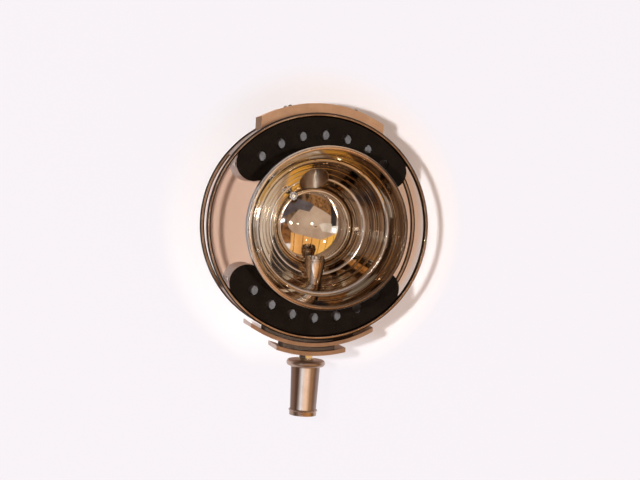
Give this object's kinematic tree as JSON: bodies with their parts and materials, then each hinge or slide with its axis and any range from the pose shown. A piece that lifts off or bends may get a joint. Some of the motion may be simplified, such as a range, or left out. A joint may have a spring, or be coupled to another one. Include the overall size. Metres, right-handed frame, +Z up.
{
  "type": "front lamp",
  "caption": "Swivelling acetylene front lamp: polished reflector with a mirror dome in an open double-hoop frame, on a short tapered post with a socket.",
  "frame": {"origin": "centre of the socket's mouth at the foot of the post", "axes": "+Z up along the post and the swivel axis; the lamp shines towards -Y; +X is the lamp's right as seen from the front"},
  "size_m": [0.3, 0.142, 0.418],
  "materials": {
    "satin_nickel": "satin, warm tarnish",
    "box_nickel": "satin",
    "polished_nickel": "polished, warm",
    "dome_mirror": "mirror polish",
    "gilt_brass": "polished",
    "burner_brass": "polished",
    "bright_steel": "bright",
    "dark_steel": "dark",
    "black_enamel": "gloss",
    "dull_steel": "dull",
    "body_nickel": "satin",
    "packing": "matt",
    "jet_ceramic": "matt",
    "copper": "satin"
  },
  "bodies": {
    "post": {"stem_tube": "satin_nickel", "stem_ferrule": "satin_nickel", "stem_collar": "satin_nickel", "pivot_bush": "burner_brass"},
    "head": {"outer_shoe": "satin_nickel", "inner_shoe": "satin_nickel", "front_hoop": "satin_nickel", "rear_hoop": "satin_nickel", "vent_hood": "satin_nickel", "upper_gallery": "box_nickel", "lower_gallery": "box_nickel", "reflector_bowl": "polished_nickel", "front_bezel": "polished_nickel", "mirror_dome": "dome_mirror", "dome_collar": "gilt_brass", "burner_post": "burner_brass", "burner_cap": "burner_brass", "gas_nipple": "burner_brass", "thrust_washer": "burner_brass", "pivot_locknut": "bright_steel", "pivot_bolt": "bright_steel", "swivel_nut": "bright_steel", "spring_washer": "bright_steel", "frame_screws": "bright_steel", "cover_screws": "bright_steel", "dome_clip": "bright_steel", "hood_screws": "dark_steel", "upper_plate": "black_enamel", "lower_plate": "black_enamel", "upper_baffle": "dull_steel", "lower_baffle": "dull_steel", "body_shell": "body_nickel", "body_tail": "body_nickel", "rear_cover": "body_nickel", "upper_bridge": "body_nickel", "lower_bridge": "body_nickel", "flue_tube": "body_nickel", "outer_pad": "packing", "inner_pad": "packing", "burner_tips": "jet_ceramic", "gas_pipe": "copper"}
  },
  "joints": [
    {"name": "head_swivel", "type": "hinge", "parent": "post", "child": "head", "pos_m": [0, 0, 0.0755], "axis": [0, 0, 1], "range_deg": [-90, 90]}
  ]
}
